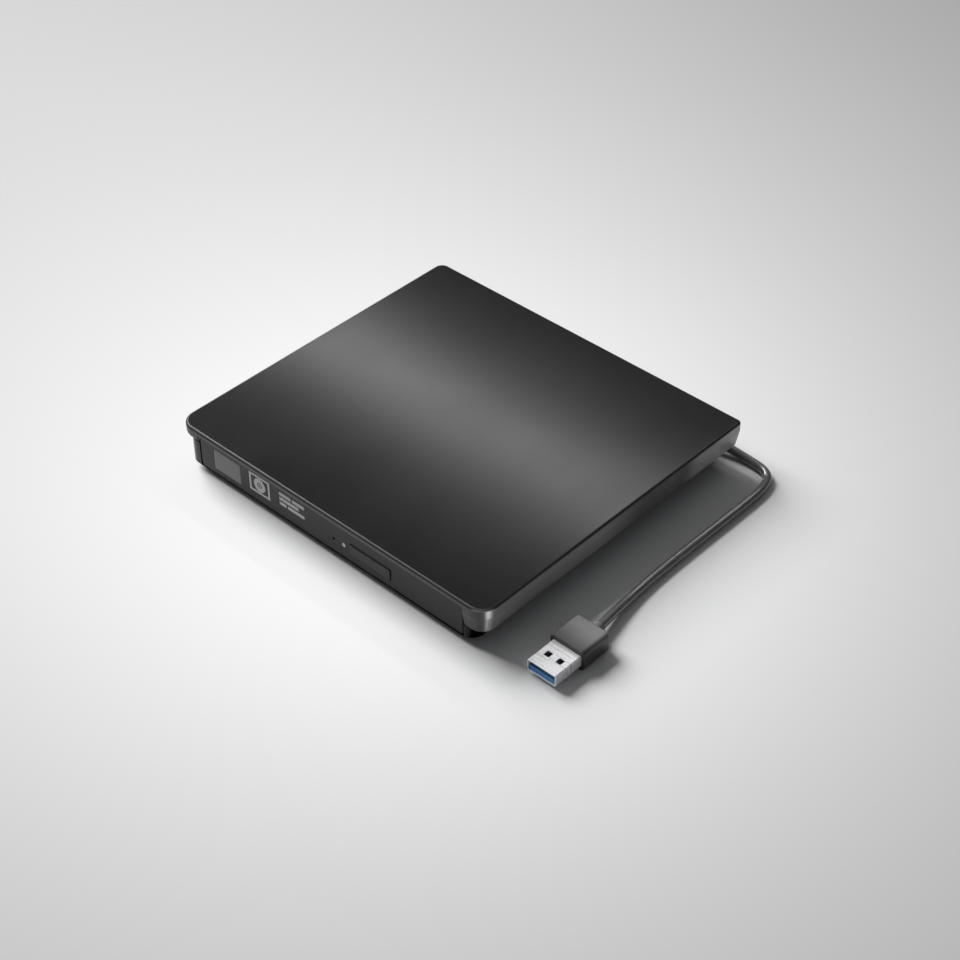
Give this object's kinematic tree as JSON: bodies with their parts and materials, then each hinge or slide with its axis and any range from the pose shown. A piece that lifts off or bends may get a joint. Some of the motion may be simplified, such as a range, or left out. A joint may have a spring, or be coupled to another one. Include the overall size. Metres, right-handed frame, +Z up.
{
  "type": "external optical drive",
  "caption": "Slim external tray-loading optical disc drive in a flat black case, with a short captive lead and a flat rectangular plug.",
  "frame": {"origin": "centre of the drive's footprint, on the surface it stands on", "axes": "+X to the right, +Z up, the tray opens towards -Y"},
  "size_m": [0.1756, 0.1393, 0.019],
  "materials": {
    "cover_black": "black, finely brushed front to back, satin",
    "case_black": "black moulded plastic, polished",
    "foot_rubber": "matt black rubber",
    "screw_steel": "small zinc plated screws",
    "pressed_steel": "zinc plated sheet steel",
    "board_green": "solder-masked circuit board",
    "chip_black": "matt black chip packages",
    "connector_plastic": "black connector plastic",
    "polished_steel": "polished steel",
    "rail_plastic": "natural white acetal",
    "ribbon_film": "white flat ribbon film",
    "lead_rubber": "dark grey flexible cable jacket",
    "plug_grey": "dark grey moulded plug",
    "plug_metal": "nickel plated plug shell",
    "tongue_blue": "blue plastic insert",
    "contact_gold": "gold plated contacts",
    "tray_black": "black moulded tray",
    "bezel_black": "black satin bezel",
    "label_grey": "plain grey label",
    "led_clear": "clear light pipe",
    "motor_metal": "plated motor housing",
    "damper_rubber": "soft black rubber",
    "mech_black": "black painted cover plate",
    "hub_plastic": "black turntable plastic",
    "sled_alloy": "cast alloy sled",
    "lens_glass": "coated objective lens",
    "button_black": "black button"
  },
  "bodies": {
    "case": {"top_cover": "cover_black", "bottom_case": "case_black", "rubber_feet": "foot_rubber", "case_screws": "screw_steel", "chassis": "pressed_steel", "drive_lid": "pressed_steel", "lid_screws": "screw_steel", "main_board": "board_green", "main_board_chips": "chip_black", "board_screws": "screw_steel", "ribbon_socket": "connector_plastic", "drive_connector": "connector_plastic", "bridge_connector": "connector_plastic", "bridge_board": "board_green", "bridge_chips": "chip_black", "latch_pin": "polished_steel", "push_out_plunger": "connector_plastic", "left_rail_guide": "rail_plastic", "right_rail_guide": "rail_plastic", "tray_ribbon": "ribbon_film", "strain_relief": "lead_rubber", "usb_lead": "lead_rubber", "plug_body": "plug_grey", "usb_shell": "plug_metal", "usb_tongue": "tongue_blue", "usb_contacts": "contact_gold"},
    "tray": {"tray": "tray_black", "bezel": "bezel_black", "bezel_label": "label_grey", "led_lens": "led_clear", "tray_board": "board_green", "tray_board_chips": "chip_black", "eject_switch": "connector_plastic", "status_led": "led_clear", "latch_spring": "polished_steel", "latch_magnet": "motor_metal", "mech_plate": "pressed_steel", "rubber_dampers": "damper_rubber", "damper_screws": "screw_steel", "rod_clamps": "connector_plastic", "guide_rods": "polished_steel", "stepper_motor": "motor_metal", "mech_cover": "mech_black", "spindle_motor": "motor_metal"},
    "rails": {"left_slide_rail": "polished_steel", "right_slide_rail": "polished_steel"},
    "turntable": {"turntable": "hub_plastic", "turntable_pad": "damper_rubber", "hub_balls": "polished_steel"},
    "sled": {"sled": "sled_alloy", "lens_actuator": "chip_black", "objective_lens": "lens_glass", "sled_follower": "rail_plastic"},
    "lead_screw": {"lead_screw": "polished_steel"},
    "eject_button": {"eject_button": "button_black"},
    "latch_lever": {"latch_lever": "rail_plastic"}
  },
  "joints": [
    {"name": "tray_slide", "type": "slide", "parent": "case", "child": "tray", "axis": [0, -1, 0], "range_m": [0, 0.127], "deforming": ["tray_ribbon"]},
    {"name": "rail_slide", "type": "slide", "parent": "case", "child": "rails", "axis": [0, -1, 0], "range_m": [0, 0.0635]},
    {"name": "turntable_spin", "type": "hinge", "parent": "tray", "child": "turntable", "pos_m": [0, -0.0015, 0.0115], "axis": [0, 0, 1], "continuous": true},
    {"name": "sled_slide", "type": "slide", "parent": "tray", "child": "sled", "axis": [0.7071, -0.7071, 0], "range_m": [0, 0.032]},
    {"name": "screw_spin", "type": "hinge", "parent": "tray", "child": "lead_screw", "pos_m": [0.01372, -0.03869, 0.0088], "axis": [0.7071, -0.7071, 0], "range_deg": [0, 3840]},
    {"name": "button_press", "type": "slide", "parent": "tray", "child": "eject_button", "axis": [0, 1, 0], "range_m": [0, 0.0004], "stiffness_N_per_m": 400},
    {"name": "latch_swing", "type": "hinge", "parent": "tray", "child": "latch_lever", "pos_m": [-0.041, -0.03, 0.0065], "axis": [0, 0, 1], "range_deg": [-8, 0]}
  ],
  "couplings": [
    {"joint": "rail_slide", "follows": "tray_slide", "ratio": 0.5},
    {"joint": "screw_spin", "follows": "sled_slide", "rad_per_m": 2094.4}
  ]
}
